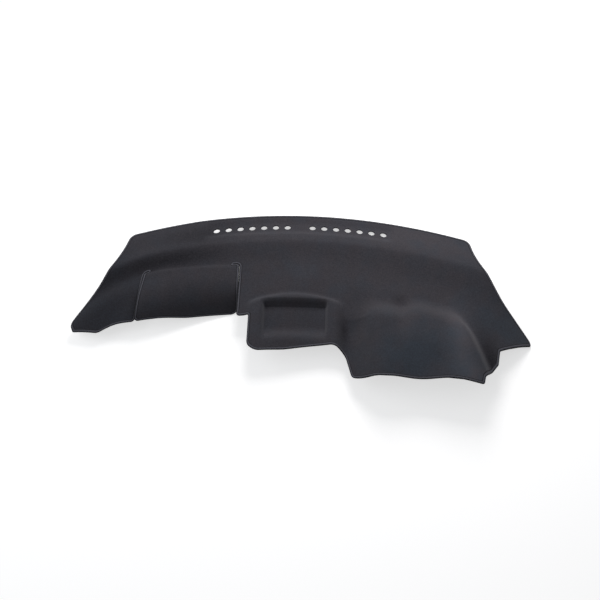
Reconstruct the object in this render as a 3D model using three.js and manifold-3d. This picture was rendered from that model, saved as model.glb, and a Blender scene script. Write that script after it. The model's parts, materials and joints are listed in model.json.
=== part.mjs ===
// Dashboard cover mat: one sheet of needled felt, moulded to the top of a dashboard, with a bound edge.
// Millimetres, +Z up, the windscreen edge at the back (+Y) and the driver's side at +X.
// The cloth is laid out flat first: p runs across it from the centre line, s from the windscreen edge
// towards the seats. It is trimmed and punched flat, then every point is draped over the dashboard's form.
import * as THREE from 'three';
import { mergeVertices } from 'three/addons/utils/BufferGeometryUtils.js';
import Module from 'manifold-3d';

const wasm = await Module();
wasm.setup();

// Felt and its bound edge
const FELT = 4;
const EDGE_WIDTH = 7;
const EDGE_RISE = 0.8;

// Plan of the cloth
const WINDSCREEN_RADIUS = 1440;
const BACK_WIDTH = 1116;
const BACK_SKEW = 10;
const LEFT_REACH = 738;
const RIGHT_REACH = 738;
const LEFT_TIP = 222;
const RIGHT_TIP = 274;

// Shelf under the windscreen, with its vent trough and two rows of holes
const SHELF = 125;
const CREASE = 20;
const VENT_HOLE = 21;
const VENT_PITCH = 39.5;
const VENTS_EACH_SIDE = 7;
const VENT_MIDDLE_GAP = 84;
const VENT_ROW = 52;
const TROUGH_DEPTH = 7;
const TROUGH_MARGIN = 20;
const TROUGH_EDGE = 26;
const HOLE_FACETS = 16;

// Fall of the cloth, in degrees below the shelf, in its middle and towards its ends
const CENTRE_STEP = 24;
const PASSENGER_STEP = 34;
const END_STEP = 48;
const CENTRE_TOP = 17;
const PASSENGER_TOP = 14;
const DRIVER_TOP = 9;
const WING_FALL = 24;
const FLAP_ROLL = 50;
const COWL_FALL = 12;

// Where these falls take over from each other, and over what length
const PASSENGER_AT = -322;
const PASSENGER_BLEND = 340;
const END_AT = -462;
const END_BLEND = 120;
const DRIVER_AT = 158;
const DRIVER_BLEND = 200;
const CENTRE_SETTLE = 90;
const CENTRE_SETTLE_BLEND = 140;
const PASSENGER_SETTLE = 43;
const PASSENGER_SETTLE_BLEND = 50;
const ROLL_AT = 88;
const ROLL_BLEND = 130;
const WING_AT = 37;
const WING_BLEND = 60;
const COWL_AT = 140;
const COWL_BLEND = 120;

// Low round pad of the dashboard's sensor, in front of the shelf
const PAD_ACROSS = 24;
const PAD_ALONG = 228;
const PAD_RADIUS = 60;
const PAD_RISE = 2.5;

// Centre block with a bowed back, and the tray sunk into it
const BLOCK_CENTRE = -6;
const TRAY_WIDTH = 204;
const TRAY_DEPTH = 24;
const TRAY_FLOOR = 68;
const TRAY_RAMP = 64;
const TRAY_WALL = 9;
const BLOCK_BACK = 322;
const BLOCK_BOW_RADIUS = 400;
const BLOCK_RISE = 16;
const BLOCK_SHOULDER = 34;
const BLOCK_RIM = 44;
const BACK_RIM = 28;
const FRONT_RIM = 30;

// Airbag flap, raised a little and cut free at its sides and bottom
const SLIT = 2;
const FLAP_FROM_BLOCK = 40;
const FLAP_WIDTH = 330;
const FLAP_TOP = 202;
const FLAP_BOTTOM = 378;
const FLAP_SKEW = 38;
const FLAP_TAPER = 24;
const FLAP_LEFT_TOP = 178;
const FLAP_RISE = 5;
const FLAP_SHOULDER = 16;
const SLIT_HOOK = 22;
const LEFT_HOOK = 14;
const FLAP_CORNER = 24;
const LIP_DROP = 10;
const LIP_CORNER = 10;

// Instrument hood: two domes side by side, ending in a ridge that runs out to the driver's corner
const HOOD_START = 280;
const HOOD_LAG = 30;
const HOOD_LAG_BLEND = 120;
const HOOD_CLIMB = 110;
const HOOD_RISE = 42;
const HOOD_FLANK = 213;
const HOOD_FLANK_WIDTH = 100;
const HOOD_FRONT = 553;
const HOOD_FRONT_SKEW = 52;
const RIDGE_START = 459;
const RIDGE_SLANT = 0.417;
const RIDGE_FLANK = 44;
const HOOD_NOTCH = 14;
const HOOD_NOTCH_AT = 330;
const HOOD_NOTCH_WIDTH = 26;
const NOTCH_BLEND = 50;
const NOTCH_END = 150;
const NOTCH_END_BLEND = 120;
const ARCH_WAVE = 8;
const ARCH_AT = 278;
const ARCH_PITCH = 200;
const ARCH_BACK = 42;
const ARCH_BLEND = 160;

// Hollow between the block and the hood
const WELL_START = 412;
const WELL_DEPTH = 16;
const WELL_EDGE = 50;
const WELL_BLEND = 36;

// Ends of the mat, which fall away over the ends of the dashboard
const LEFT_DROOP_START = 422;
const LEFT_DROOP_RADIUS = 450;
const LEFT_DROOP_BLEND = 200;
const RIGHT_DROOP_START = 528;
const RIGHT_DROOP_RADIUS = 300;
const RIGHT_DROOP_BLEND = 250;

// Radii that round the corners of the outline, and the degrees of each facet of their arcs
const BACK_CORNER = 22;
const TIP_CORNER = 16;
const SMALL_CORNER = 12;
const EDGE_BEND = 40;
const SIDE_SWEEP = 200;
const ARC_STEP = 24;

// Lean of the mat, in degrees, when it lies on three points of its rim: the windscreen edge, the driver's
// wing and the flap's corner
const REST_PITCH = -18.7;
const REST_ROLL = 3.6;

// Spacing of the grid that is draped, and the margin of the blank round the outline
const CELL_ACROSS = 32;
const CELL_ALONG = 26;
const FALL_STEP = 8;
const BLANK_MARGIN = 20;
const CUT_HEIGHT = 100;
const DOME_RADIUS = 30000;

// Places worked out from these sizes
const backHalf = BACK_WIDTH / 2;
const trayHalf = TRAY_WIDTH / 2;
const blockHalf = trayHalf + BLOCK_RIM;
const blockLeft = BLOCK_CENTRE - blockHalf;
const blockRight = BLOCK_CENTRE + blockHalf;
const trayBack = BLOCK_BACK + BACK_RIM;
const trayFloorEnd = trayBack + TRAY_WALL + TRAY_FLOOR;
const trayRampEnd = trayFloorEnd + TRAY_RAMP;
const blockFront = trayRampEnd + FRONT_RIM;
const ventEnd = VENT_MIDDLE_GAP / 2 + VENT_PITCH * (VENTS_EACH_SIDE - 1) + VENT_HOLE / 2;
const troughHalf = ventEnd + TROUGH_MARGIN;
const troughReach = VENT_HOLE / 2 + TROUGH_MARGIN;
const slitRight = blockLeft - FLAP_FROM_BLOCK;
const slitLeftBottom = slitRight - FLAP_WIDTH;
const flapLeftBottom = FLAP_BOTTOM - FLAP_SKEW;
const ridgeEnd = RIDGE_START + (HOOD_FRONT - HOOD_START) * RIDGE_SLANT;

const ease = (t) => THREE.MathUtils.smoothstep(t, 0, 1);
const rise = (value, middle, over) => ease((value - middle) / over + 0.5);
const plateau = (value, from, to, edge) => rise(value, from, edge) * (1 - rise(value, to, edge));
const mix = THREE.MathUtils.lerp;

// The left slit leans outwards towards the flap's bottom
function slitLeft(s) {
  const down = (s - FLAP_LEFT_TOP) / (flapLeftBottom - FLAP_LEFT_TOP);
  return slitLeftBottom + FLAP_TAPER * (1 - down);
}

// Line along which the flap rises, from the top of one slit to the top of the other
function flapTop(p) {
  return mix(FLAP_TOP, FLAP_LEFT_TOP, (slitRight - p) / (slitRight - slitLeft(FLAP_LEFT_TOP)));
}

const onFlap = (p, s) => p > slitLeft(s) && p < slitRight;

// Fall of the cloth below the shelf, in radians, at s along the line p
function fall(p, s, flap) {
  const passenger = 1 - rise(p, PASSENGER_AT, PASSENGER_BLEND);
  const end = 1 - rise(p, END_AT, END_BLEND);
  const driver = rise(p, DRIVER_AT, DRIVER_BLEND);
  const step = CENTRE_STEP + (PASSENGER_STEP - CENTRE_STEP) * passenger + (END_STEP - PASSENGER_STEP) * end;
  const top = CENTRE_TOP + (PASSENGER_TOP - CENTRE_TOP) * passenger + (DRIVER_TOP - CENTRE_TOP) * driver;
  const settleAt = SHELF + mix(CENTRE_SETTLE, PASSENGER_SETTLE, passenger);
  const settleBlend = mix(CENTRE_SETTLE_BLEND, PASSENGER_SETTLE_BLEND, passenger);
  let degrees = step * rise(s, SHELF, CREASE) + (top - step) * rise(s, settleAt, settleBlend);
  if (flap) degrees += FLAP_ROLL * rise(s, FLAP_TOP + ROLL_AT, ROLL_BLEND);
  else degrees += WING_FALL * end * rise(s, FLAP_LEFT_TOP + WING_AT, WING_BLEND);
  degrees += COWL_FALL * driver * rise(s, HOOD_START + COWL_AT, COWL_BLEND);
  return THREE.MathUtils.degToRad(degrees);
}

// The instrument hood: two domes with a notch between them, and a steep flank on the driver's side
function hood(p, s) {
  const start = HOOD_START + HOOD_LAG * (1 - rise(p, HOOD_NOTCH_AT, HOOD_LAG_BLEND));
  const ridge = RIDGE_START + (s - HOOD_START) * RIDGE_SLANT;
  const across = rise(p, HOOD_FLANK, HOOD_FLANK_WIDTH) * (1 - rise(p, ridge + RIDGE_FLANK / 2, RIDGE_FLANK));
  const climb = HOOD_RISE * ease((s - start) / HOOD_CLIMB);
  const notch = HOOD_NOTCH * Math.exp(-(((p - HOOD_NOTCH_AT) / HOOD_NOTCH_WIDTH) ** 2));
  const notchEnd = rise(s, HOOD_START + NOTCH_END, NOTCH_END_BLEND);
  const notchFade = ease((s - HOOD_START) / NOTCH_BLEND) * (1 - notchEnd);
  const wave = ARCH_WAVE * Math.cos(((p - ARCH_AT) / ARCH_PITCH) * 2 * Math.PI);
  return across * (climb - notch * notchFade + wave * rise(s, HOOD_FRONT - ARCH_BACK, ARCH_BLEND));
}

// The centre block with its bowed back and the tray sunk into it
function block(p, s) {
  const across = p - BLOCK_CENTRE;
  const back = BLOCK_BACK + (across * across) / (2 * BLOCK_BOW_RADIUS);
  const raised = plateau(across, -blockHalf, blockHalf, BLOCK_SHOULDER) * rise(s, back, BLOCK_SHOULDER);
  const sunk = plateau(across, -trayHalf, trayHalf, TRAY_WALL) * rise(s, trayBack, TRAY_WALL)
    * (1 - ease((s - trayFloorEnd) / TRAY_RAMP));
  return BLOCK_RISE * raised - TRAY_DEPTH * sunk;
}

// What is moulded up or down out of the even fall of the cloth
function relief(p, s, flap) {
  const left = Math.max(-p - LEFT_DROOP_START, 0);
  const right = Math.max(p - RIGHT_DROOP_START, 0);
  let height = block(p, s) + hood(p, s);
  height -= ((left * left) / (2 * LEFT_DROOP_RADIUS)) * ease(s / LEFT_DROOP_BLEND);
  height -= ((right * right) / (2 * RIGHT_DROOP_RADIUS)) * ease(s / RIGHT_DROOP_BLEND);
  height -= TROUGH_DEPTH * plateau(p, -troughHalf, troughHalf, TROUGH_EDGE)
    * plateau(s, VENT_ROW - troughReach, VENT_ROW + troughReach, TROUGH_EDGE);
  height += PAD_RISE * ease(1.5 - Math.hypot(p - PAD_ACROSS, s - PAD_ALONG) / PAD_RADIUS);
  height -= WELL_DEPTH * plateau(p, blockRight, HOOD_FLANK, WELL_EDGE) * rise(s, WELL_START, WELL_BLEND);
  if (flap) height += FLAP_RISE * ease((s - flapTop(p)) / FLAP_SHOULDER);
  return height;
}

// The middle of the felt at p, s
function formPoint(p, s, flap) {
  const steps = Math.max(1, Math.ceil(s / FALL_STEP));
  const length = s / steps;
  let y = (-p * p) / (2 * WINDSCREEN_RADIUS);
  let z = relief(p, s, flap);
  for (let i = 0; i < steps; i += 1) {
    const angle = fall(p, (i + 0.5) * length, flap);
    y -= Math.cos(angle) * length;
    z -= Math.sin(angle) * length;
  }
  return new THREE.Vector3(p, y, z);
}

// A point w above the middle of the felt, square to it
function drape(p, s, w) {
  const flap = onFlap(p, s);
  const across = formPoint(p + 1, s, flap).sub(formPoint(p - 1, s, flap));
  const along = formPoint(p, s + 1, flap).sub(formPoint(p, s - 1, flap));
  const normal = along.cross(across).normalize();
  return formPoint(p, s, flap).addScaledVector(normal, w);
}

// A corner of an end of the mat: shares of its reach beyond the windscreen edge, and of the way to its tip
const leftWing = (out, down, radius) => [-mix(backHalf, LEFT_REACH, out), LEFT_TIP * down, radius];
const rightWing = (out, down, radius) => [mix(backHalf, RIGHT_REACH, out), RIGHT_TIP * down, radius];

// A corner of the hood's front: shares of the way from the block to the ridge, and of the front's skew
function hoodEdge(across, down, radius) {
  return [mix(blockRight, ridgeEnd, across), HOOD_FRONT + HOOD_FRONT_SKEW * down, radius];
}

// Corners of the trimmed cloth, each with the radius that rounds it, once round from the windscreen edge
function corners() {
  const lipRight = slitRight + SLIT / 2;
  const lipBottom = FLAP_BOTTOM + LIP_DROP;
  const flapRight = slitRight - SLIT / 2;
  const slitEnd = FLAP_TOP - SLIT / 2;
  const hookEnd = slitRight - SLIT_HOOK;
  const leftTop = slitLeft(FLAP_LEFT_TOP);
  return [
    [-backHalf, BACK_SKEW, BACK_CORNER],
    [-backHalf * 0.6, 0, SIDE_SWEEP],
    [backHalf, 0, BACK_CORNER],
    rightWing(0.08, 0.27, SIDE_SWEEP),
    rightWing(0.5, 0.71, SIDE_SWEEP),
    rightWing(1, 1, TIP_CORNER),
    rightWing(0.36, 1.41, TIP_CORNER),
    rightWing(0.31, 1.6, BACK_CORNER),
    hoodEdge(0.985, -0.6, TIP_CORNER),
    hoodEdge(0.975, -0.12, LIP_CORNER),
    hoodEdge(0.25, 1.13, SIDE_SWEEP),
    hoodEdge(0.085, 0.62, TIP_CORNER),
    [blockRight * 1.1, blockFront * 0.98, EDGE_BEND],
    [blockRight * 0.83, blockFront * 0.954, EDGE_BEND],
    [BLOCK_CENTRE - blockHalf * 0.2, blockFront, SIDE_SWEEP],
    [blockLeft, blockFront, EDGE_BEND],
    [blockLeft, lipBottom, LIP_CORNER],
    [lipRight, lipBottom, LIP_CORNER],
    [lipRight, slitEnd, SMALL_CORNER],
    [hookEnd, slitEnd, SLIT / 2],
    [hookEnd, slitEnd + SLIT, SLIT / 2],
    [flapRight, slitEnd + SLIT, SMALL_CORNER],
    [flapRight, FLAP_BOTTOM, FLAP_CORNER],
    [(slitRight + slitLeftBottom) / 2, FLAP_BOTTOM - FLAP_SKEW * 0.2, SIDE_SWEEP],
    [slitLeftBottom + SLIT / 2, flapLeftBottom, TIP_CORNER],
    [leftTop + SLIT / 2, FLAP_LEFT_TOP + SLIT, SMALL_CORNER],
    [leftTop + LEFT_HOOK, FLAP_LEFT_TOP + SLIT, SLIT / 2],
    [leftTop + LEFT_HOOK, FLAP_LEFT_TOP, SLIT / 2],
    [leftTop - SLIT / 2, FLAP_LEFT_TOP, SMALL_CORNER],
    [slitLeft(flapLeftBottom - LIP_DROP) - SLIT / 2, flapLeftBottom - LIP_DROP, LIP_CORNER],
    leftWing(0.17, 1.39, SIDE_SWEEP),
    leftWing(0.46, 1.38, EDGE_BEND),
    leftWing(0.92, 1.1, TIP_CORNER),
    leftWing(0.98, 0.95, TIP_CORNER),
    leftWing(0.45, 0.68, SIDE_SWEEP),
    leftWing(0.11, 0.37, SIDE_SWEEP),
  ];
}

// Rounds every corner by an arc that touches both of its sides
function roundedOutline() {
  const list = corners().map(([p, s, radius]) => ({ at: new THREE.Vector2(p, s), radius }));
  const points = [];
  list.forEach(({ at, radius }, i) => {
    const before = list[(i + list.length - 1) % list.length].at.clone().sub(at);
    const after = list[(i + 1) % list.length].at.clone().sub(at);
    const room = Math.min(before.length(), after.length()) * 0.49;
    before.normalize();
    after.normalize();
    const half = Math.acos(THREE.MathUtils.clamp(before.dot(after), -1, 1)) / 2;
    const reach = Math.min(radius / Math.tan(half), room);
    const fitted = reach * Math.tan(half);
    const centre = before.clone().add(after).normalize().multiplyScalar(fitted / Math.sin(half)).add(at);
    const start = before.clone().multiplyScalar(reach).add(at).sub(centre);
    const turn = (Math.PI - 2 * half) * Math.sign(before.cross(after)) * -1;
    const facets = Math.max(1, Math.ceil(Math.abs(turn) / THREE.MathUtils.degToRad(ARC_STEP)));
    for (let k = 0; k <= facets; k += 1) {
      points.push(start.clone().rotateAround(new THREE.Vector2(), (turn * k) / facets).add(centre));
    }
  });
  return points;
}

function toSolid(geometry) {
  const bare = geometry.clone();
  bare.deleteAttribute('normal');
  bare.deleteAttribute('uv');
  const merged = mergeVertices(bare, 1e-5);
  return new wasm.Manifold(new wasm.Mesh({
    numProp: 3,
    vertProperties: new Float32Array(merged.attributes.position.array),
    triVerts: new Uint32Array(merged.index.array),
  }));
}

const prism = (section) => section.extrude(CUT_HEIGHT).translate([0, 0, -CUT_HEIGHT / 2]);

function punch(p, s) {
  const geometry = new THREE.CylinderGeometry(VENT_HOLE / 2, VENT_HOLE / 2, CUT_HEIGHT, HOLE_FACETS);
  return toSolid(geometry.rotateX(Math.PI / 2).translate(p, s, 0));
}

// Grid lines from start to end: those named, and even ones between them
function gridLines(start, end, named, cell) {
  const kept = [start, end, ...named.filter((at) => at > start && at < end)].sort((a, b) => a - b);
  const lines = [kept[0]];
  for (let i = 1; i < kept.length; i += 1) {
    const gap = kept[i] - kept[i - 1];
    const parts = Math.max(1, Math.round(gap / cell));
    for (let k = 1; k <= parts && gap > 1; k += 1) lines.push(kept[i - 1] + (gap * k) / parts);
  }
  return lines;
}

// The flat blank is a very shallow dome, so that trimming keeps the lines of its grid
const dome = (p, s) => -(p * p + s * s) / (2 * DOME_RADIUS);

function blank(thickness) {
  const edge = (at, over) => [at - over / 2, at, at + over / 2];
  const across = gridLines(-LEFT_REACH - BLANK_MARGIN, RIGHT_REACH + BLANK_MARGIN, [
    ...edge(-troughHalf, TROUGH_EDGE), ...edge(troughHalf, TROUGH_EDGE),
    ...edge(BLOCK_CENTRE - trayHalf, TRAY_WALL), ...edge(BLOCK_CENTRE + trayHalf, TRAY_WALL),
    ...edge(blockLeft, BLOCK_SHOULDER), ...edge(blockRight, BLOCK_SHOULDER),
    ...edge(HOOD_NOTCH_AT, 2 * HOOD_NOTCH_WIDTH),
  ], CELL_ACROSS);
  const along = gridLines(-BLANK_MARGIN, HOOD_FRONT + HOOD_FRONT_SKEW + BLANK_MARGIN, [
    0, ...edge(VENT_ROW - troughReach, TROUGH_EDGE), ...edge(VENT_ROW + troughReach, TROUGH_EDGE),
    ...edge(SHELF, CREASE), ...edge(BLOCK_BACK, BLOCK_SHOULDER), ...edge(trayBack, TRAY_WALL),
    trayFloorEnd, trayRampEnd, HOOD_START,
  ], CELL_ALONG);
  const columns = across.length - 1;
  const rows = along.length - 1;
  const geometry = new THREE.BoxGeometry(columns, rows, thickness, columns, rows, 1);
  const position = geometry.attributes.position;
  for (let i = 0; i < position.count; i += 1) {
    const p = across[Math.round(position.getX(i) + columns / 2)];
    const s = along[Math.round(position.getY(i) + rows / 2)];
    position.setXYZ(i, p, s, position.getZ(i) + dome(p, s));
  }
  return toSolid(geometry);
}

function flatMat() {
  const outline = new wasm.CrossSection([roundedOutline().map((at) => at.toArray())]);
  const trim = prism(outline);
  const inside = prism(outline.offset(-EDGE_WIDTH, 'Miter'));
  const band = blank(FELT + 2 * EDGE_RISE).intersect(trim).subtract(inside);
  let mat = blank(FELT).intersect(trim).add(band);
  for (const side of [-1, 1]) {
    for (let i = 0; i < VENTS_EACH_SIDE; i += 1) {
      mat = mat.subtract(punch(side * (VENT_MIDDLE_GAP / 2 + i * VENT_PITCH), VENT_ROW));
    }
  }
  return mat;
}

function drapedMat() {
  const mesh = flatMat().getMesh();
  const draped = new Float32Array(mesh.vertProperties.length);
  for (let i = 0; i < draped.length; i += 3) {
    const [p, s, z] = mesh.vertProperties.slice(i, i + 3);
    drape(p, s, z - dome(p, s)).toArray(draped, i);
  }
  const geometry = new THREE.BufferGeometry();
  geometry.setAttribute('position', new THREE.BufferAttribute(draped, 3));
  // s runs towards -Y, so the faces are turned over to point outwards again
  geometry.setIndex(Array.from(mesh.triVerts).reverse());
  return geometry;
}

const felt = new THREE.MeshStandardMaterial({ color: 0x3b3b42, roughness: 0.95, metalness: 0 });
const matSheet = new THREE.Mesh(drapedMat(), felt);
matSheet.name = 'mat_sheet';

// The mat lies on the surface, with the middle of its footprint at the origin
const dashboardMat = new THREE.Group();
dashboardMat.add(matSheet);
dashboardMat.rotation.set(
  THREE.MathUtils.degToRad(REST_PITCH),
  THREE.MathUtils.degToRad(REST_ROLL),
  0,
  'YXZ',
);
const box = new THREE.Box3().setFromObject(dashboardMat, true);
const middle = box.getCenter(new THREE.Vector3());
dashboardMat.position.set(-middle.x, -middle.y, -box.min.z);

export default dashboardMat;
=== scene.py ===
"""Dashboard cover mat: the moulded felt sheet with its overlocked edge, on a plain studio floor."""
import json
import math

import bmesh
import bpy
import numpy as np
from mathutils import Euler, Matrix, Vector


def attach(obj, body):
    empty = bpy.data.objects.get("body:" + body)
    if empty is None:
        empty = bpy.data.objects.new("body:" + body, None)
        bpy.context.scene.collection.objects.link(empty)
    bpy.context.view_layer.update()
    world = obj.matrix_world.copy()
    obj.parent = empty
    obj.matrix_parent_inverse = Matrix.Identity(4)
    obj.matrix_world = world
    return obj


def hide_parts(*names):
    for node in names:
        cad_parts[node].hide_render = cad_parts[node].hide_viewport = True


bl_info = {
    "name": "Dashboard Cover Mat",
    "version": (1, 0, 0),
    "blender": (4, 5, 0),
    "location": "View3D > Sidebar > Dash Mat",
    "description": "Moulds a felt dashboard cover mat, overlocks its edge and lights it",
    "category": "Add Mesh",
}

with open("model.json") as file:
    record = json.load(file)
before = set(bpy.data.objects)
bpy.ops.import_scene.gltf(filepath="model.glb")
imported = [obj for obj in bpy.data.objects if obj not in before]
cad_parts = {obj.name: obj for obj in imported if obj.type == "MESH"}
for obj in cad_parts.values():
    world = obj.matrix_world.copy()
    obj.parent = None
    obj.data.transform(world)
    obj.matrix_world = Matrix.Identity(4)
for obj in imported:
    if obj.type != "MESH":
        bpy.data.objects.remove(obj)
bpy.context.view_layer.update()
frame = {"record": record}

MM = 0.001

# Plan of the cloth, in millimetres: p runs across it, s from the windscreen edge towards the seats.
# The plain solid has the same sizes; its trough, hollow and ridge have harder edges than felt has.
FELT = 4
WINDSCREEN_RADIUS = 1440
BACK_HALF = 558
BACK_SKEW = 10
LEFT_REACH = 738
RIGHT_REACH = 738
LEFT_TIP = 222
RIGHT_TIP = 274

# Shelf with its vent trough and two rows of holes
SHELF = 125
CREASE = 20
VENT_HOLE = 21
VENT_PITCH = 39.5
VENTS_EACH_SIDE = 7
VENT_MIDDLE_GAP = 84
VENT_ROW = 52
TROUGH_DEPTH = 7
TROUGH_MARGIN = 20
TROUGH_EDGE = 32

# Fall of the cloth, in degrees below the shelf, in its middle and towards its ends
CENTRE_STEP = 24
PASSENGER_STEP = 34
END_STEP = 48
CENTRE_TOP = 17
PASSENGER_TOP = 14
DRIVER_TOP = 9
WING_FALL = 24
FLAP_ROLL = 50
COWL_FALL = 12

# Where these falls take over from each other
PASSENGER_AT = -322
PASSENGER_BLEND = 340
END_AT = -462
END_BLEND = 120
DRIVER_AT = 158
DRIVER_BLEND = 200
CENTRE_SETTLE = 90
CENTRE_SETTLE_BLEND = 140
PASSENGER_SETTLE = 43
PASSENGER_SETTLE_BLEND = 50
ROLL_AT = 88
ROLL_BLEND = 130
WING_AT = 37
WING_BLEND = 60
COWL_AT = 140
COWL_BLEND = 120

# Low round pad in front of the shelf
PAD_ACROSS = 24
PAD_ALONG = 228
PAD_RADIUS = 60
PAD_RISE = 2.5

# Centre block and the tray sunk into it
BLOCK_CENTRE = -6
TRAY_HALF = 102
TRAY_DEPTH = 24
TRAY_FLOOR = 68
TRAY_RAMP = 64
TRAY_WALL = 9
BLOCK_BACK = 322
BLOCK_BOW_RADIUS = 400
BLOCK_RISE = 16
BLOCK_SHOULDER = 34
BLOCK_RIM = 44
BACK_RIM = 28
FRONT_RIM = 30

# Airbag flap, raised a little and cut free at its sides and bottom
SLIT = 2
FLAP_FROM_BLOCK = 40
FLAP_WIDTH = 330
FLAP_TOP = 202
FLAP_BOTTOM = 378
FLAP_SKEW = 38
FLAP_TAPER = 24
FLAP_LEFT_TOP = 178
FLAP_RISE = 5
FLAP_SHOULDER = 16
SLIT_HOOK = 22
LEFT_HOOK = 14
FLAP_CORNER = 24
LIP_DROP = 10
LIP_CORNER = 10

# Instrument hood with its two arches and the ridge out to the driver's corner
HOOD_START = 280
HOOD_LAG = 30
HOOD_LAG_BLEND = 120
HOOD_CLIMB = 110
HOOD_RISE = 42
HOOD_FLANK = 213
HOOD_FLANK_WIDTH = 100
HOOD_FRONT = 553
HOOD_FRONT_SKEW = 52
RIDGE_START = 459
RIDGE_SLANT = 0.417
RIDGE_FLANK = 62
HOOD_NOTCH = 14
HOOD_NOTCH_AT = 330
HOOD_NOTCH_WIDTH = 26
NOTCH_BLEND = 50
NOTCH_END = 150
NOTCH_END_BLEND = 120
ARCH_WAVE = 8
ARCH_AT = 278
ARCH_PITCH = 200
ARCH_BACK = 42
ARCH_BLEND = 160

# Hollow between the block and the hood
WELL_START = 412
WELL_DEPTH = 13
WELL_EDGE = 64
WELL_BLEND = 64

# Ends of the mat, which fall away over the ends of the dashboard
LEFT_DROOP_START = 422
LEFT_DROOP_RADIUS = 450
LEFT_DROOP_BLEND = 200
RIGHT_DROOP_START = 528
RIGHT_DROOP_RADIUS = 300
RIGHT_DROOP_BLEND = 250

# Corner radii of the outline
BACK_CORNER = 22
TIP_CORNER = 16
SMALL_CORNER = 12
EDGE_BEND = 40
SIDE_SWEEP = 200

# Lean of the mat when it lies on three points of its rim, in degrees
REST_PITCH = -18.7
REST_ROLL = 3.6

# Place of the left shelf mount, on the felt's underside
MOUNT_ACROSS = -400
MOUNT_ALONG = 60

# Places worked out from these sizes
BLOCK_HALF = TRAY_HALF + BLOCK_RIM
BLOCK_LEFT = BLOCK_CENTRE - BLOCK_HALF
BLOCK_RIGHT = BLOCK_CENTRE + BLOCK_HALF
TRAY_BACK = BLOCK_BACK + BACK_RIM
TRAY_FLOOR_END = TRAY_BACK + TRAY_WALL + TRAY_FLOOR
BLOCK_FRONT = TRAY_FLOOR_END + TRAY_RAMP + FRONT_RIM
VENT_END = VENT_MIDDLE_GAP / 2 + VENT_PITCH * (VENTS_EACH_SIDE - 1) + VENT_HOLE / 2
TROUGH_HALF = VENT_END + TROUGH_MARGIN
TROUGH_REACH = VENT_HOLE / 2 + TROUGH_MARGIN
SLIT_RIGHT = BLOCK_LEFT - FLAP_FROM_BLOCK
SLIT_LEFT_BOTTOM = SLIT_RIGHT - FLAP_WIDTH
FLAP_LEFT_BOTTOM = FLAP_BOTTOM - FLAP_SKEW
RIDGE_END = RIDGE_START + (HOOD_FRONT - HOOD_START) * RIDGE_SLANT

# Painted light and shade, put into the pile's colour where the form's own lighting falls short: place, reach
# across and along, and by how much (lighter above 0, darker below)
PAINTED_LIGHT_PATCHES = {
    "flank right of the ridge": (590, 440, 34, 80, -2.2),
    "ridge": (500, 400, 40, 100, 2.7),
    "right front of the hood": (535, 535, 60, 60, 2.2),
    "top of the hood": (400, 430, 90, 60, 0.7),
    "front of the hood": (420, 520, 170, 60, 0.6),
    "middle of the hood": (435, 500, 50, 35, -0.6),
    "round pad": (PAD_ACROSS, PAD_ALONG, 52, 46, 0.4),
    "left half of the shelf": (-480, 60, 240, 60, -0.7),
    "shelf over the flap": (-330, 70, 110, 50, -1.3),
    "right half of the shelf": (430, 50, 240, 70, 0.9),
    "front rim of the tray": (0, 500, 130, 22, -0.6),
    "tray": (0, 400, 95, 70, -0.5),
    "between block and hood": (200, 330, 60, 60, -0.7),
    "right end": (620, 230, 90, 110, -0.2),
    "right of the crease": (460, 180, 200, 60, -0.4),
    "middle of the crease": (-40, 160, 320, 40, -0.5),
    "left of the crease": (-430, 160, 170, 32, -2.1),
    "flap": (-350, 270, 130, 60, -0.6),
    "left end": (-640, 260, 120, 110, -1.2),
    "corner right of the block": (150, 445, 16, 40, -1.8),
}

# Where a painted blue tint stands in for a bluish fill light: place and reach across and along
PAINTED_FILL_TINT_PATCHES = {
    "left end": (-650, 260, 130, 130),
    "front of the hood": (360, 520, 140, 90),
    "right end": (660, 280, 110, 90),
}

# Shallow creases: ends, sag in the middle, width and height, and the share of their length in which they fade
CREASES = {
    "between block and hood": (142, 391, 241, 398, 9, 5, 2.2),
    "under the left arch": (228, 476, 312, 444, -10, 6, -0.8),
}
CREASE_FADE = 0.3

# How much the tufts, the painted light and shade, and the painted blue tint of fill light count beside the
# pile's own clouds
TUFT_WEIGHT = 2.0
PAINTED_LIGHT_WEIGHT = 0.55
PAINTED_FILL_TINT_WEIGHT = 0.5

# Steps in which the fall of the cloth is added up, and the facets of its round corners, which take a little
# less than half of a side each
FALL_STEPS = 84
CORNER_STEP = math.radians(6)
CORNER_ROOM = 0.49

# Distance over which the slope of the form is taken
PROBE = 1

# Blank that is trimmed to the outline, and the tools that cut it
BLANK_MARGIN = 15
CUT_DEPTH = 40
PUNCH_FACETS = 40

# Thread of the edge: how it swells over one stitch, by how much, how far it stands out into a slit, and how
# near its points lie where its ring is closed
STITCH_SWELL = (0, 0.7, 1, 0.7)
SWELL_HEIGHT = 0.35
THREAD_OUT = 0.95 * SLIT / 2
WELD = 1e-5

# Point over the dashboard that the camera looks at
VIEW_CENTRE = (9.5, -338, -58)

# Lamps over the dashboard: place and aim in metres, size, power and colour
LAMPS = {
    "key_overhead": ((0.2, 0.45, 1.4), (0.1, 0, 0), 0.9, 18, (1.0, 0.98, 0.98)),
    "fill_left": ((-1.8, -0.5, 1.0), (0, 0, 0), 1.6, 7.5, (0.95, 0.97, 1.0)),
}
SKY_LIGHT = 0.2
FLOOR_GLOW = 0.6
FLOOR_HALF = 40


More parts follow.
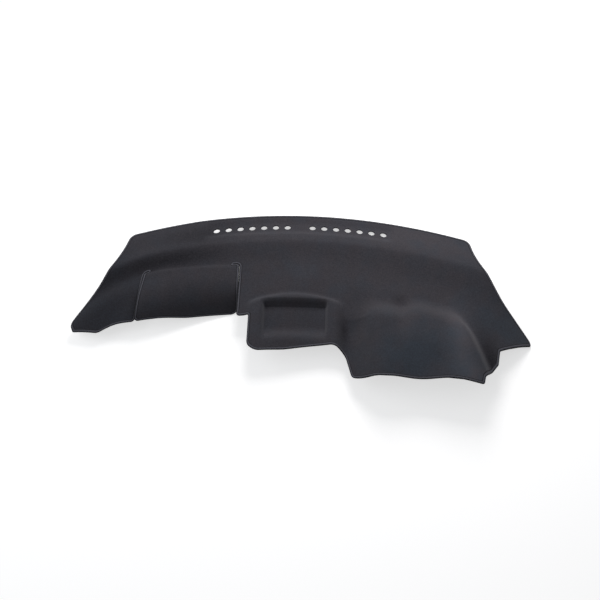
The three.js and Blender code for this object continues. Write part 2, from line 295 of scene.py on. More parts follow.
class MatSizes(bpy.types.PropertyGroup):
    """Sizes of the felt and of its overlocked edge."""

    felt: bpy.props.FloatProperty(
        name="Felt", description="Thickness of the felt", default=FELT * MM, min=MM, unit="LENGTH"
    )
    cell: bpy.props.FloatProperty(
        name="Cell",
        description="Spacing of the fine grid of the sheet",
        default=5.5 * MM,
        min=3 * MM,
        unit="LENGTH",
    )
    edge_width: bpy.props.FloatProperty(
        name="Edge width",
        description="Width of the overlocked edge",
        default=8 * MM,
        min=3 * MM,
        unit="LENGTH",
    )
    edge_rise: bpy.props.FloatProperty(
        name="Edge rise",
        description="Height of the thread above the felt",
        default=0.6 * MM,
        min=0.2 * MM,
        unit="LENGTH",
    )
    stitch: bpy.props.FloatProperty(
        name="Stitch",
        description="Distance from one stitch of the edge to the next",
        default=3 * MM,
        min=MM,
        unit="LENGTH",
    )


class MatColours(bpy.types.PropertyGroup):
    """Colours of the felt, its backing and the thread, as sRGB hex values."""

    # The painted light and shade push the pile's colour towards pile where it is lighter and towards
    # pile_dark where it is darker
    pile: bpy.props.StringProperty(
        name="Pile", description="Colour of the felt's pile", default="#4e4b50"
    )
    # Also the colour of the painted blue tint that stands in for a bluish fill light
    pile_blue: bpy.props.StringProperty(
        name="Blue pile", description="Colour of the pile where its dye leans to blue", default="#424a54"
    )
    pile_dark: bpy.props.StringProperty(
        name="Dark pile", description="Colour of the felt between its fibres", default="#2b2a2f"
    )
    backing: bpy.props.StringProperty(
        name="Backing", description="Colour of the felt's underside", default="#29292c"
    )
    thread: bpy.props.StringProperty(
        name="Thread", description="Colour of the overlocking thread", default="#5a5a62"
    )
    # Painted shade on the thread's sides; the thread colour above is, on the crown, partly a painted
    # highlight
    thread_shaded: bpy.props.StringProperty(
        name="Sunk thread", description="Colour of the thread where it sinks into the pile", default="#18181b"
    )
    floor: bpy.props.StringProperty(
        name="Floor", description="Colour of the studio floor", default="#fafafa"
    )
    bounce: bpy.props.StringProperty(
        name="Bounce", description="Colour of the light that the floor throws back", default="#606268"
    )


class ViewSettings(bpy.types.PropertyGroup):
    """Where the camera stands, against the dashboard that the mat is moulded to."""

    azimuth: bpy.props.FloatProperty(
        name="Azimuth",
        description="Turn of the camera towards the driver's side",
        default=math.radians(2),
        subtype="ANGLE",
    )
    elevation: bpy.props.FloatProperty(
        name="Elevation",
        description="Height of the camera over the shelf",
        default=math.radians(46.5),
        subtype="ANGLE",
    )
    distance: bpy.props.FloatProperty(
        name="Distance",
        description="Distance from the camera to the middle of the mat",
        default=2.65,
        unit="LENGTH",
    )


def ease(t):
    """Eases from 0 to 1 while t goes from 0 to 1."""
    t = np.clip(t, 0, 1)
    return t * t * (3 - 2 * t)


def rise(value, middle, over):
    """Eases from 0 to 1 across a stretch, given by its middle and its length."""
    return ease((value - middle) / over + 0.5)


def window(value, start, end, edge):
    """1 from start to end and 0 outside, with eased edges."""
    return rise(value, start, edge) * (1 - rise(value, end, edge))


def mix(a, b, t):
    """The value a share t of the way from a to b."""
    return a + (b - a) * t


def slit_left(s):
    """Place of the left slit, which leans outwards towards the flap's bottom."""
    down = (s - FLAP_LEFT_TOP) / (FLAP_LEFT_BOTTOM - FLAP_LEFT_TOP)
    return SLIT_LEFT_BOTTOM + FLAP_TAPER * (1 - down)


def flap_top(p):
    """Line along which the flap rises, from the top of one slit to the other."""
    return mix(FLAP_TOP, FLAP_LEFT_TOP, (SLIT_RIGHT - p) / (SLIT_RIGHT - slit_left(FLAP_LEFT_TOP)))


def fall_of(p, flap):
    """The fall of the cloth along the lines p, as a function of s."""
    passenger = 1 - rise(p, PASSENGER_AT, PASSENGER_BLEND)
    end = 1 - rise(p, END_AT, END_BLEND)
    driver = rise(p, DRIVER_AT, DRIVER_BLEND)
    step = mix(CENTRE_STEP, PASSENGER_STEP, passenger) + (END_STEP - PASSENGER_STEP) * end
    top = mix(CENTRE_TOP, PASSENGER_TOP, passenger) + (DRIVER_TOP - CENTRE_TOP) * driver
    settle_at = SHELF + mix(CENTRE_SETTLE, PASSENGER_SETTLE, passenger)
    settle_blend = mix(CENTRE_SETTLE_BLEND, PASSENGER_SETTLE_BLEND, passenger)

    def fall(s):
        degrees = step * rise(s, SHELF, CREASE) + (top - step) * rise(s, settle_at, settle_blend)
        degrees += FLAP_ROLL * flap * rise(s, FLAP_TOP + ROLL_AT, ROLL_BLEND)
        degrees += WING_FALL * end * (1 - flap) * rise(s, FLAP_LEFT_TOP + WING_AT, WING_BLEND)
        degrees += COWL_FALL * driver * rise(s, HOOD_START + COWL_AT, COWL_BLEND)
        return np.radians(degrees)

    return fall


def hood(p, s):
    """The instrument hood: two domes with a notch between them, ending in a ridge on the driver's side."""
    start = HOOD_START + HOOD_LAG * (1 - rise(p, HOOD_NOTCH_AT, HOOD_LAG_BLEND))
    ridge = RIDGE_START + (s - HOOD_START) * RIDGE_SLANT
    across = rise(p, HOOD_FLANK, HOOD_FLANK_WIDTH) * (1 - rise(p, ridge + RIDGE_FLANK / 2, RIDGE_FLANK))
    climb = HOOD_RISE * ease((s - start) / HOOD_CLIMB)
    notch = HOOD_NOTCH * np.exp(-(((p - HOOD_NOTCH_AT) / HOOD_NOTCH_WIDTH) ** 2))
    notch_fade = ease((s - HOOD_START) / NOTCH_BLEND) * (1 - rise(s, HOOD_START + NOTCH_END, NOTCH_END_BLEND))
    wave = ARCH_WAVE * np.cos((p - ARCH_AT) / ARCH_PITCH * 2 * math.pi)
    return across * (climb - notch * notch_fade + wave * rise(s, HOOD_FRONT - ARCH_BACK, ARCH_BLEND))


def block(p, s):
    """The centre block with its bowed back and the tray sunk into it."""
    across = p - BLOCK_CENTRE
    back = BLOCK_BACK + across * across / (2 * BLOCK_BOW_RADIUS)
    raised = window(across, -BLOCK_HALF, BLOCK_HALF, BLOCK_SHOULDER) * rise(s, back, BLOCK_SHOULDER)
    sunk = (
        window(across, -TRAY_HALF, TRAY_HALF, TRAY_WALL)
        * rise(s, TRAY_BACK, TRAY_WALL)
        * (1 - ease((s - TRAY_FLOOR_END) / TRAY_RAMP))
    )
    return BLOCK_RISE * raised - TRAY_DEPTH * sunk


def relief(p, s, flap):
    """What is moulded up or down out of the even fall of the cloth."""
    left = np.maximum(-p - LEFT_DROOP_START, 0)
    right = np.maximum(p - RIGHT_DROOP_START, 0)
    height = -left * left / (2 * LEFT_DROOP_RADIUS) * ease(s / LEFT_DROOP_BLEND)
    height -= right * right / (2 * RIGHT_DROOP_RADIUS) * ease(s / RIGHT_DROOP_BLEND)
    height -= (
        TROUGH_DEPTH
        * window(p, -TROUGH_HALF, TROUGH_HALF, TROUGH_EDGE)
        * window(s, VENT_ROW - TROUGH_REACH, VENT_ROW + TROUGH_REACH, TROUGH_EDGE)
    )
    height += PAD_RISE * ease(1.5 - np.hypot(p - PAD_ACROSS, s - PAD_ALONG) / PAD_RADIUS)
    height += FLAP_RISE * flap * ease((s - flap_top(p)) / FLAP_SHOULDER)
    height -= WELL_DEPTH * window(p, BLOCK_RIGHT, HOOD_FLANK, WELL_EDGE) * rise(s, WELL_START, WELL_BLEND)
    return height + block(p, s) + hood(p, s)


def patch(p, s, at_p, at_s, across, along):
    """A soft round patch: 1 at its middle, fading to 0."""
    return np.exp(-(((p - at_p) / across) ** 2) - ((s - at_s) / along) ** 2)


def painted_light_and_shade(p, s):
    """Painted light and shade at p, s: lighter above 0, darker below 0, and 0 where none is painted."""
    return sum(amount * patch(p, s, *place) for *place, amount in PAINTED_LIGHT_PATCHES.values())


def painted_fill_tint(p, s):
    """How strong the painted blue tint, standing in for a bluish fill light, is at p, s."""
    return sum(patch(p, s, *place) for place in PAINTED_FILL_TINT_PATCHES.values())


def creases(p, s):
    """Height of the shallow creases."""
    height = 0
    for start_p, start_s, end_p, end_s, sag, width, rises in CREASES.values():
        share = (p - start_p) / (end_p - start_p)
        line = mix(start_s, end_s, share) + 4 * sag * share * (1 - share)
        fade = ease(share / CREASE_FADE) * ease((1 - share) / CREASE_FADE)
        height = height + rises * fade * np.exp(-(((s - line) / width) ** 2))
    return height


def form(p, s, flap):
    """The middle of the felt at p, s, over the dashboard."""
    fall = fall_of(p, flap)
    y = -p * p / (2 * WINDSCREEN_RADIUS)
    z = relief(p, s, flap) + creases(p, s)
    for k in range(FALL_STEPS):
        angle = fall(s * (k + 0.5) / FALL_STEPS)
        y = y - np.cos(angle) * s / FALL_STEPS
        z = z - np.sin(angle) * s / FALL_STEPS
    return np.stack([p, y, z], axis=-1)


def rest_turn():
    """The lean of the mat at rest, as a rotation."""
    return Euler((math.radians(REST_PITCH), math.radians(REST_ROLL), 0), "XYZ").to_matrix()


def over_dashboard(p, s, w):
    """Points w above the middle of the felt, square to it."""
    flap = ((p > slit_left(s)) & (p < SLIT_RIGHT)).astype(float)
    across = form(p + PROBE, s, flap) - form(p - PROBE, s, flap)
    along = form(p, s + PROBE, flap) - form(p, s - PROBE, flap)
    normal = np.cross(along, across)
    normal /= np.linalg.norm(normal, axis=-1, keepdims=True)
    return form(p, s, flap) + normal * w[:, None]


def rest_shift():
    """Where the dashboard's own origin lies once the mat is at rest, from the mount under its shelf."""
    mount = next(m for m in frame["record"]["mounts"] if m["name"] == "shelf_left")
    place = np.array([[MOUNT_ACROSS], [MOUNT_ALONG], [-FELT / 2]], dtype=float)
    under = over_dashboard(*place)[0] * MM
    return Vector(mount["pos_m"]) - rest_turn() @ Vector(under)


def drape(mesh):
    """Moves a flat mesh, with p, s and height in millimetres, onto the form and into its place at rest."""
    flat = np.empty(len(mesh.vertices) * 3)
    mesh.vertices.foreach_get("co", flat)
    flat = flat.reshape(-1, 3)
    # Stores, on each point, the painted light and shade and the painted blue tint of fill light
    for name, of_place in (("painted_light_and_shade", painted_light_and_shade), ("painted_fill_tint", painted_fill_tint)):
        values = mesh.attributes.new(name, "FLOAT", "POINT")
        values.data.foreach_set("value", of_place(flat[:, 0], flat[:, 1]))
    points = over_dashboard(flat[:, 0], flat[:, 1], flat[:, 2]) * MM
    placed = points @ np.array(rest_turn()).T + np.array(rest_shift())
    mesh.vertices.foreach_set("co", placed.ravel())
    mesh.update()


def left_wing(out, down, radius):
    """A corner of the left end: shares of its reach beyond the windscreen edge, and of the way to its tip."""
    return -mix(BACK_HALF, LEFT_REACH, out), LEFT_TIP * down, radius


def right_wing(out, down, radius):
    """A corner of the right end, in the same shares."""
    return mix(BACK_HALF, RIGHT_REACH, out), RIGHT_TIP * down, radius


def hood_edge(across, down, radius):
    """A corner of the hood's front: shares of the way from block to ridge, and of the front's skew."""
    return mix(BLOCK_RIGHT, RIDGE_END, across), HOOD_FRONT + HOOD_FRONT_SKEW * down, radius


def corners():
    """Corners of the trimmed cloth, each with its rounding radius, once round from the windscreen edge."""
    lip_right = SLIT_RIGHT + SLIT / 2
    lip_bottom = FLAP_BOTTOM + LIP_DROP
    flap_right = SLIT_RIGHT - SLIT / 2
    slit_end = FLAP_TOP - SLIT / 2
    hook_end = SLIT_RIGHT - SLIT_HOOK
    left_top = slit_left(FLAP_LEFT_TOP)
    return [
        (-BACK_HALF, BACK_SKEW, BACK_CORNER),
        (-BACK_HALF * 0.6, 0, SIDE_SWEEP),
        (BACK_HALF, 0, BACK_CORNER),
        right_wing(0.08, 0.27, SIDE_SWEEP),
        right_wing(0.5, 0.71, SIDE_SWEEP),
        right_wing(1, 1, TIP_CORNER),
        right_wing(0.36, 1.41, TIP_CORNER),
        right_wing(0.31, 1.6, BACK_CORNER),
        hood_edge(0.985, -0.6, TIP_CORNER),
        hood_edge(0.975, -0.12, LIP_CORNER),
        hood_edge(0.25, 1.13, SIDE_SWEEP),
        hood_edge(0.085, 0.62, TIP_CORNER),
        (BLOCK_RIGHT * 1.1, BLOCK_FRONT * 0.98, EDGE_BEND),
        (BLOCK_RIGHT * 0.83, BLOCK_FRONT * 0.954, EDGE_BEND),
        (BLOCK_CENTRE - BLOCK_HALF * 0.2, BLOCK_FRONT, SIDE_SWEEP),
        (BLOCK_LEFT, BLOCK_FRONT, EDGE_BEND),
        (BLOCK_LEFT, lip_bottom, LIP_CORNER),
        (lip_right, lip_bottom, LIP_CORNER),
        (lip_right, slit_end, SMALL_CORNER),
        (hook_end, slit_end, SLIT / 2),
        (hook_end, slit_end + SLIT, SLIT / 2),
        (flap_right, slit_end + SLIT, SMALL_CORNER),
        (flap_right, FLAP_BOTTOM, FLAP_CORNER),
        ((SLIT_RIGHT + SLIT_LEFT_BOTTOM) / 2, FLAP_BOTTOM - FLAP_SKEW * 0.2, SIDE_SWEEP),
        (SLIT_LEFT_BOTTOM + SLIT / 2, FLAP_LEFT_BOTTOM, TIP_CORNER),
        (left_top + SLIT / 2, FLAP_LEFT_TOP + SLIT, SMALL_CORNER),
        (left_top + LEFT_HOOK, FLAP_LEFT_TOP + SLIT, SLIT / 2),
        (left_top + LEFT_HOOK, FLAP_LEFT_TOP, SLIT / 2),
        (left_top - SLIT / 2, FLAP_LEFT_TOP, SMALL_CORNER),
        (slit_left(FLAP_LEFT_BOTTOM - LIP_DROP) - SLIT / 2, FLAP_LEFT_BOTTOM - LIP_DROP, LIP_CORNER),
        left_wing(0.17, 1.39, SIDE_SWEEP),
        left_wing(0.46, 1.38, EDGE_BEND),
        left_wing(0.92, 1.1, TIP_CORNER),
        left_wing(0.98, 0.95, TIP_CORNER),
        left_wing(0.45, 0.68, SIDE_SWEEP),
        left_wing(0.11, 0.37, SIDE_SWEEP),
    ]


def rounded_outline():
    """The trimmed edge of the cloth, every corner rounded by an arc that touches both of its sides."""
    listed = [(Vector((p, s)), radius) for p, s, radius in corners()]
    points = []
    for i, (at, radius) in enumerate(listed):
        before = listed[i - 1][0] - at
        after = listed[(i + 1) % len(listed)][0] - at
        room = min(before.length, after.length) * CORNER_ROOM
        before.normalize()
        after.normalize()
        half = math.acos(max(-1, min(1, before.dot(after)))) / 2
        reach = min(radius / math.tan(half), room)
        centre = at + (before + after).normalized() * reach / math.cos(half)
        start = at + before * reach - centre
        turn = (math.pi - 2 * half) * (-1 if before.cross(after) > 0 else 1)
        facets = max(1, math.ceil(abs(turn) / CORNER_STEP))
        for k in range(facets + 1):
            points.append(centre + Matrix.Rotation(turn * k / facets, 2) @ start)
    return points


def linear(hexed):
    """An sRGB hex value as the linear colour that a shader takes."""
    parts = [int(hexed[i : i + 2], 16) / 255 for i in (1, 3, 5)]
    return [c / 12.92 if c <= 0.04045 else ((c + 0.055) / 1.055) ** 2.4 for c in parts] + [1.0]


def add_node(tree, kind, settings=(), links=()):
    """Adds a node, sets its properties or inputs and links its inputs to other nodes' outputs."""
    node = tree.nodes.new(kind)
    for key, value in dict(settings).items():
        if isinstance(key, str) and hasattr(node, key):
            setattr(node, key, value)
        else:
            node.inputs[key].default_value = value
    for key, output in dict(links).items():
        tree.links.new(output, node.inputs[key])
    return node


def per_metre(size):
    """Scale of a noise pattern whose blotches have this size in millimetres."""
    return round(1 / (size * MM))


def new_material(name):
    """A material without nodes, and its node tree."""
    material = bpy.data.materials.new(name)
    material.use_nodes = True
    tree = material.node_tree
    tree.nodes.clear()
    return material, tree


def finish_material(tree, shader):
    """Links a shader to the material's output."""
    add_node(tree, "ShaderNodeOutputMaterial", links={"Surface": shader.outputs[0]})


def needled_felt(colours):
    """Needle-punched polyester felt with a short velvety pile: matt, with a soft sheen at a slant."""
    material, tree = new_material("needled_polyester_felt")
    place = add_node(tree, "ShaderNodeTexCoord")
    # Fibres are 0.02 mm thick, so they are drawn as tufts of about 4.5 mm
    tufts = add_node(
        tree,
        "ShaderNodeTexNoise",
        {"Scale": per_metre(4.55), "Detail": 3, "Roughness": 0.7},
        {"Vector": place.outputs["Object"]},
    )
    # Needling and handling leave cloudy patches about 30 mm across
    clouds = add_node(
        tree,
        "ShaderNodeTexNoise",
        {"Scale": per_metre(29.4), "Detail": 4, "Roughness": 0.65},
        {"Vector": place.outputs["Object"]},
    )
    soft_clouds = add_node(
        tree, "ShaderNodeMapRange", {"To Min": 0.25, "To Max": 0.75}, {"Value": clouds.outputs["Fac"]}
    )
    mixed = add_node(
        tree,
        "ShaderNodeMath",
        {"operation": "MULTIPLY_ADD", 1: TUFT_WEIGHT},
        {0: tufts.outputs["Fac"], 2: soft_clouds.outputs[0]},
    )
    # Painted light and shade: patches of the pile painted lighter as highlights and darker as shade
    painted_light_node = add_node(tree, "ShaderNodeAttribute", {"attribute_name": "painted_light_and_shade"})
    tone_with_painted_light = add_node(
        tree,
        "ShaderNodeMath",
        {"operation": "MULTIPLY_ADD", 1: PAINTED_LIGHT_WEIGHT},
        {0: painted_light_node.outputs["Fac"], 2: mixed.outputs[0]},
    )
    share = add_node(
        tree,
        "ShaderNodeMapRange",
        {"From Min": 0.5, "From Max": 2.5, "clamp": False},
        {"Value": tone_with_painted_light.outputs[0]},
    )
    # The colour leans to violet in some random patches, about 60 mm across, and to blue in others, and a
    # painted blue tint stands in for a bluish fill light in the listed places
    hues = add_node(
        tree,
        "ShaderNodeTexNoise",
        {"Scale": per_metre(62.5), "Detail": 3},
        {"Vector": place.outputs["Object"]},
    )
    painted_fill_tint_node = add_node(tree, "ShaderNodeAttribute", {"attribute_name": "painted_fill_tint"})
    hue = add_node(
        tree,
        "ShaderNodeMath",
        {"operation": "MULTIPLY_ADD", 1: PAINTED_FILL_TINT_WEIGHT},
        {0: painted_fill_tint_node.outputs["Fac"], 2: hues.outputs["Fac"]},
    )
    lean = add_node(
        tree, "ShaderNodeMapRange", {"From Min": 0.4, "From Max": 1.0}, {"Value": hue.outputs[0]}
    )
    light = add_node(
        tree,
        "ShaderNodeMix",
        {"data_type": "RGBA", 6: linear(colours.pile), 7: linear(colours.pile_blue)},
        {0: lean.outputs[0]},
    )
    colour = add_node(
        tree,
        "ShaderNodeMix",
        {"data_type": "RGBA", "clamp_factor": False, 6: linear(colours.pile_dark)},
        {0: share.outputs[0], 7: light.outputs[2]},
    )
    bump = add_node(
        tree, "ShaderNodeBump", {"Strength": 0.55, "Distance": 0.9 * MM}, {"Height": tufts.outputs["Fac"]}
    )
    shader = add_node(
        tree,
        "ShaderNodeBsdfPrincipled",
        {
            "Roughness": 0.95,
            "Specular IOR Level": 0.15,
            "Sheen Weight": 0.2,
            "Sheen Roughness": 0.5,
            "Sheen Tint": (0.95, 0.95, 1.0, 1.0),
        },
        {"Base Color": colour.outputs[2], "Normal": bump.outputs[0]},
    )
    finish_material(tree, shader)
    return material


def felt_backing(colours):
    """The underside of the felt, sealed with thin latex: darker, flatter and a little harder."""
    material, tree = new_material("latex_sealed_backing")
    place = add_node(tree, "ShaderNodeTexCoord")
    # The latex dries over the needled loops, which show as a grain of about 4 mm
    grain = add_node(
        tree,
        "ShaderNodeTexNoise",
        {"Scale": per_metre(3.85), "Detail": 5, "Roughness": 0.75},
        {"Vector": place.outputs["Object"]},
    )
    shade = add_node(
        tree,
        "ShaderNodeMapRange",
        {"From Min": 0.35, "From Max": 0.7, "To Min": 0.75, "To Max": 1.15},
        {"Value": grain.outputs["Fac"]},
    )
    colour = add_node(
        tree,
        "ShaderNodeMix",
        {"data_type": "RGBA", "blend_type": "MULTIPLY", 0: 1.0, 6: linear(colours.backing)},
        {7: shade.outputs[0]},
    )
    bump = add_node(
        tree, "ShaderNodeBump", {"Strength": 0.5, "Distance": 0.6 * MM}, {"Height": grain.outputs["Fac"]}
    )
    shader = add_node(
        tree,
        "ShaderNodeBsdfPrincipled",
        {"Roughness": 0.8, "Specular IOR Level": 0.25},
        {"Base Color": colour.outputs[2], "Normal": bump.outputs[0]},
    )
    finish_material(tree, shader)
    return material


def bulked_thread(colours):
    """Bulked polyester thread, wrapped over the edge, with a faint silky gloss: lighter than the felt on its
    crown, partly as a painted highlight, and painted dark on its sides as shade.
    """
    material, tree = new_material("bulked_polyester_thread")
    place = add_node(tree, "ShaderNodeTexCoord")
    # Its filaments are too fine to show, so their lint is drawn 2 mm across
    lint = add_node(
        tree, "ShaderNodeTexNoise", {"Scale": per_metre(2), "Detail": 3}, {"Vector": place.outputs["Object"]}
    )
    shade = add_node(
        tree,
        "ShaderNodeMapRange",
        {"From Min": 0.3, "From Max": 0.7, "To Min": 0.8, "To Max": 1.15},
        {"Value": lint.outputs["Fac"]},
    )
    # Painted highlight on the thread's crown, and painted shade on both its sides, where they sink into the
    # dark pile
    crown_light = add_node(tree, "ShaderNodeAttribute", {"attribute_name": "crown_light"})
    thread_lit_and_shaded = add_node(
        tree,
        "ShaderNodeMix",
        {"data_type": "RGBA", 6: linear(colours.thread_shaded), 7: linear(colours.thread)},
        {0: crown_light.outputs["Fac"]},
    )
    colour = add_node(
        tree,
        "ShaderNodeMix",
        {"data_type": "RGBA", "blend_type": "MULTIPLY", 0: 1.0},
        {6: thread_lit_and_shaded.outputs[2], 7: shade.outputs[0]},
    )
    shader = add_node(
        tree,
        "ShaderNodeBsdfPrincipled",
        {"Roughness": 0.8, "Specular IOR Level": 0.15, "Sheen Weight": 0.1, "Sheen Roughness": 0.5},
        {"Base Color": colour.outputs[2]},
    )
    finish_material(tree, shader)
    return material


def new_piece(name, mesh, materials):
    """An object at the origin with its materials, linked to the scene."""
    piece = bpy.data.objects.new(name, mesh)
    bpy.context.scene.collection.objects.link(piece)
    for material in materials:
        mesh.materials.append(material)
    return piece


def mesh_from(bm, name):
    """A mesh made from a bmesh, which is freed."""
    mesh = bpy.data.meshes.new(name)
    bm.to_mesh(mesh)
    bm.free()
    return mesh


def fine_blank(cell, thickness):
    """The untrimmed cloth: a fine grid, given its thickness."""
    left = -LEFT_REACH - BLANK_MARGIN
    right = RIGHT_REACH + BLANK_MARGIN
    back = -BLANK_MARGIN
    front = HOOD_FRONT + HOOD_FRONT_SKEW + BLANK_MARGIN
    width = right - left
    length = front - back
    bm = bmesh.new()
    bmesh.ops.create_grid(bm, x_segments=round(width / cell), y_segments=round(length / cell), size=0.5)
    bmesh.ops.scale(bm, vec=(width, length, 1), verts=bm.verts)
    bmesh.ops.translate(bm, vec=((left + right) / 2, (front + back) / 2, thickness / 2), verts=bm.verts)
    lower = bmesh.ops.extrude_face_region(bm, geom=bm.faces[:], use_keep_orig=True)["geom"]
    lower_verts = [item for item in lower if isinstance(item, bmesh.types.BMVert)]
    bmesh.ops.translate(bm, vec=(0, 0, -thickness), verts=lower_verts)
    bmesh.ops.recalc_face_normals(bm, faces=bm.faces)
    return mesh_from(bm, "blank")


def cutter():
    """The trimmed outline as a deep prism."""
    bm = bmesh.new()
    face = bm.faces.new([bm.verts.new((*at, -CUT_DEPTH / 2)) for at in rounded_outline()])
    upper = bmesh.ops.extrude_face_region(bm, geom=[face], use_keep_orig=True)["geom"]
    upper_verts = [item for item in upper if isinstance(item, bmesh.types.BMVert)]
    bmesh.ops.translate(bm, vec=(0, 0, CUT_DEPTH), verts=upper_verts)
    bmesh.ops.recalc_face_normals(bm, faces=bm.faces)
    return mesh_from(bm, "outline_cutter")


def punches():
    """One round punch for each vent hole."""
    bm = bmesh.new()
    for side in (-1, 1):
        for k in range(VENTS_EACH_SIDE):
            at = Matrix.Translation((side * (VENT_MIDDLE_GAP / 2 + k * VENT_PITCH), VENT_ROW, 0))
            bmesh.ops.create_cone(
                bm,
                cap_ends=True,
                segments=PUNCH_FACETS,
                radius1=VENT_HOLE / 2,
                radius2=VENT_HOLE / 2,
                depth=CUT_DEPTH,
                matrix=at,
            )
    return mesh_from(bm, "punches")


def cut(piece, mesh, operation):
    """Applies a boolean of the piece with a closed mesh."""
    tool = bpy.data.objects.new("tool", mesh)
    bpy.context.scene.collection.objects.link(tool)
    modifier = piece.modifiers.new("cut", "BOOLEAN")
    modifier.operation = operation
    modifier.object = tool
    modifier.solver = "MANIFOLD"
    depsgraph = bpy.context.evaluated_depsgraph_get()
    result = bpy.data.meshes.new_from_object(piece.evaluated_get(depsgraph))
    piece.modifiers.clear()
    piece.data = result
    bpy.data.objects.remove(tool)


class DASHMAT_OT_felt_sheet(bpy.types.Operator):
    """Cut the felt flat, punch its vent holes and mould it to the dashboard"""

    bl_idname = "dashmat.felt_sheet"
    bl_label = "Felt Sheet"

    def execute(self, context):
        sizes = context.scene.mat_sizes
        colours = context.scene.mat_colours
        felt = sizes.felt / MM
        piece = new_piece("felt_sheet", fine_blank(sizes.cell / MM, felt), [])
        cut(piece, cutter(), "INTERSECT")
        cut(piece, punches(), "DIFFERENCE")
        mesh = piece.data
        under = [poly.index for poly in mesh.polygons if poly.normal.z < -0.5]
        drape(mesh)
        mesh.materials.clear()
        mesh.materials.append(needled_felt(colours))
        mesh.materials.append(felt_backing(colours))
        slots = np.zeros(len(mesh.polygons), dtype=np.int32)
        slots[under] = 1
        mesh.polygons.foreach_set("material_index", slots)
        mesh.shade_smooth()
        piece.modifiers.new("edges", "WEIGHTED_NORMAL")
        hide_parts("mat_sheet")
        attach(piece, "root")
        outline = np.array(rounded_outline()) * MM
        return {"FINISHED"}


def edge_stations(stitch):
    """Points along the trimmed edge, one for each swell of a stitch, each with the way out of the cloth."""
    outline = rounded_outline()
    lengths = [0.0]
    for i in range(len(outline)):
        lengths.append(lengths[-1] + (outline[(i + 1) % len(outline)] - outline[i]).length)
    count = len(STITCH_SWELL) * round(lengths[-1] / stitch)
    along = np.arange(count) * lengths[-1] / count
    closed = np.array([list(at) for at in outline] + [list(outline[0])])
    p = np.interp(along, lengths, closed[:, 0])
    s = np.interp(along, lengths, closed[:, 1])
    near = len(STITCH_SWELL) // 2
    p_out = np.roll(s, -near) - np.roll(s, near)
    s_out = np.roll(p, near) - np.roll(p, -near)
    norm = np.hypot(p_out, s_out)
    return p, s, p_out / norm, s_out / norm


def edge_section(felt, width, rise_over):
    """The thread's path round the edge, from its top inner side: distance outwards, height and share of
    painted light on the crown.
    """
    # Distance in shares of the width, height in shares of the rise, and 1 on the crown, where the highlight
    # is painted, 0 where the shade is painted
    profile = [
        (-1, -0.3, 0),
        (-0.8, 0.15, 0),
        (-0.66, 0.8, 0.8),
        (-0.45, 1, 1),
        (-0.26, 0.8, 0.8),
        (-0.12, 0.2, 0),
        (0, -0.6, 0),
    ]
    half = felt / 2
    upper = [(u * width, half + h * rise_over, crown_light) for u, h, crown_light in profile]
    upper.append((THREAD_OUT, half * 0.4, 0))
    return upper + [(u, -w, crown_light) for u, w, crown_light in reversed(upper)]


class DASHMAT_OT_edge_thread(bpy.types.Operator):
    """Overlock the trimmed edge and both slits with thread"""

    bl_idname = "dashmat.edge_thread"
    bl_label = "Edge Thread"

    def execute(self, context):
        sizes = context.scene.mat_sizes
        colours = context.scene.mat_colours
        p, s, p_out, s_out = edge_stations(sizes.stitch / MM)
        felt = sizes.felt / MM
        section = edge_section(felt, sizes.edge_width / MM, sizes.edge_rise / MM)
        stations, around = len(p), len(section)
        bm = bmesh.new()
        bmesh.ops.create_grid(bm, x_segments=stations, y_segments=around, size=0.5)
        crown_light_layer = bm.verts.layers.float.new("crown_light")
        for vert in bm.verts:
            i = round((vert.co.x + 0.5) * stations) % stations
            k = round((vert.co.y + 0.5) * around) % around
            u, w, vert[crown_light_layer] = section[k]
            swell = SWELL_HEIGHT * STITCH_SWELL[i % len(STITCH_SWELL)]
            w += swell * math.copysign(min(1, abs(w) / (felt / 2)), w)
            vert.co = (p[i] + p_out[i] * u, s[i] + s_out[i] * u, w)
        bmesh.ops.remove_doubles(bm, verts=bm.verts, dist=WELD)
        bmesh.ops.recalc_face_normals(bm, faces=bm.faces)
        mesh = mesh_from(bm, "edge_thread")
        drape(mesh)
        mesh.shade_smooth()
        piece = new_piece("edge_thread", mesh, [bulked_thread(colours)])
        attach(piece, "root")
        return {"FINISHED"}


def area_lamp(name, at, target, size, power, colour):
    """A square lamp at a place, turned to the target."""
    lamp = bpy.data.lights.new(name, "AREA")
    lamp.shape = "SQUARE"
    lamp.size = size
    lamp.energy = power
    lamp.color = colour
    holder = bpy.data.objects.new(name, lamp)
    holder.location = at
    holder.rotation_euler = (Vector(target) - Vector(at)).to_track_quat("-Z", "Y").to_euler()
    bpy.context.scene.collection.objects.link(holder)


def seen_directly(tree):
    """1 for what the camera sees, also in a reflection or through glass, and 0 for light that bounces."""
    path = add_node(tree, "ShaderNodeLightPath")
    bare = add_node(
        tree,
        "ShaderNodeMath",
        {"operation": "MAXIMUM"},
        {0: path.outputs["Is Camera Ray"], 1: path.outputs["Is Glossy Ray"]},
    )
    seen = add_node(
        tree,
        "ShaderNodeMath",
        {"operation": "MAXIMUM"},
        {0: bare.outputs[0], 1: path.outputs["Is Transmission Ray"]},
    )
    return seen.outputs[0]


def studio_white(colours):
    """Seamless white paper, bright to the camera and in reflections, which still takes the mat's shadow."""
    material, tree = new_material("seamless_white_paper")
    paper = add_node(tree, "ShaderNodeBsdfDiffuse", {"Color": linear(colours.floor)})
    dull = add_node(tree, "ShaderNodeBsdfDiffuse", {"Color": linear(colours.bounce)})
    glow = add_node(tree, "ShaderNodeEmission", {"Color": (1, 1, 1, 1), "Strength": FLOOR_GLOW})
    lit = add_node(tree, "ShaderNodeAddShader", links={0: paper.outputs[0], 1: glow.outputs[0]})
    shader = add_node(
        tree, "ShaderNodeMixShader", links={0: seen_directly(tree), 1: dull.outputs[0], 2: lit.outputs[0]}
    )
    finish_material(tree, shader)
    return material


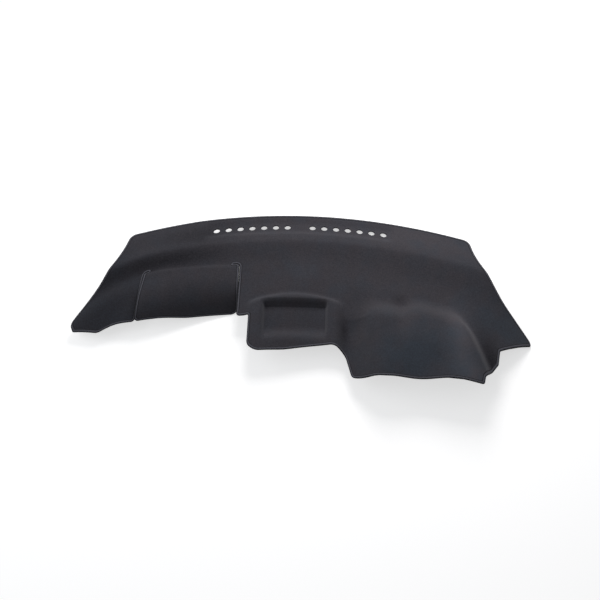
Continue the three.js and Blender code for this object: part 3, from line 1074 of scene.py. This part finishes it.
def studio_world():
    """Soft even light all round, white where it is seen."""
    world = bpy.data.worlds.new("studio")
    bpy.context.scene.world = world
    world.use_nodes = True
    tree = world.node_tree
    tree.nodes.clear()
    sky = add_node(tree, "ShaderNodeBackground", {"Color": (0.95, 0.97, 1.0, 1), "Strength": SKY_LIGHT})
    white = add_node(tree, "ShaderNodeBackground", {"Color": (1, 1, 1, 1), "Strength": 1.0})
    shader = add_node(
        tree, "ShaderNodeMixShader", links={0: seen_directly(tree), 1: sky.outputs[0], 2: white.outputs[0]}
    )
    add_node(tree, "ShaderNodeOutputWorld", links={"Surface": shader.outputs[0]})


class DASHMAT_OT_stage(bpy.types.Operator):
    """Lay the floor, set the lamps and place the camera"""

    bl_idname = "dashmat.stage"
    bl_label = "Stage"

    def execute(self, context):
        scene = context.scene
        view = scene.mat_view
        scene.view_settings.view_transform = "Standard"
        bm = bmesh.new()
        bmesh.ops.create_grid(bm, x_segments=1, y_segments=1, size=FLOOR_HALF)
        floor = new_piece("studio_floor", mesh_from(bm, "studio_floor"), [studio_white(scene.mat_colours)])
        studio_world()
        at_rest = Matrix.Translation(rest_shift()) @ rest_turn().to_4x4()
        for name, (at, *settings) in LAMPS.items():
            area_lamp(name, at_rest @ Vector(at), *settings)
        camera = bpy.data.cameras.new("camera")
        camera.sensor_width = 36
        camera.lens = 50
        holder = bpy.data.objects.new("camera", camera)
        scene.collection.objects.link(holder)
        target = Vector(VIEW_CENTRE) * MM
        back = Vector((
            math.sin(view.azimuth) * math.cos(view.elevation),
            -math.cos(view.azimuth) * math.cos(view.elevation),
            math.sin(view.elevation),
        ))
        turn = (-back).to_track_quat("-Z", "Y").to_matrix().to_4x4()
        over_dash = Matrix.Translation(target + back * view.distance) @ turn
        holder.matrix_world = at_rest @ over_dash
        scene.camera = holder
        return {"FINISHED"}


class DASHMAT_PT_panel(bpy.types.Panel):
    """The mat's pieces, sizes and colours"""

    bl_idname = "DASHMAT_PT_panel"
    bl_label = "Dash Mat"
    bl_space_type = "VIEW_3D"
    bl_region_type = "UI"
    bl_category = "Dash Mat"

    def draw(self, context):
        for group in (context.scene.mat_sizes, context.scene.mat_colours, context.scene.mat_view):
            for name in group.__annotations__:
                self.layout.prop(group, name)
        for operator in OPERATORS:
            self.layout.operator(operator.bl_idname)


OPERATORS = (DASHMAT_OT_felt_sheet, DASHMAT_OT_edge_thread, DASHMAT_OT_stage)
CLASSES = (MatSizes, MatColours, ViewSettings, *OPERATORS, DASHMAT_PT_panel)


def register():
    for cls in CLASSES:
        bpy.utils.register_class(cls)
    bpy.types.Scene.mat_sizes = bpy.props.PointerProperty(type=MatSizes)
    bpy.types.Scene.mat_colours = bpy.props.PointerProperty(type=MatColours)
    bpy.types.Scene.mat_view = bpy.props.PointerProperty(type=ViewSettings)


def unregister():
    del bpy.types.Scene.mat_view
    del bpy.types.Scene.mat_colours
    del bpy.types.Scene.mat_sizes
    for cls in reversed(CLASSES):
        bpy.utils.unregister_class(cls)


def main():
    register()
    bpy.ops.dashmat.felt_sheet()
    bpy.ops.dashmat.edge_thread()
    bpy.ops.dashmat.stage()


if __name__ == "__main__":
    main()
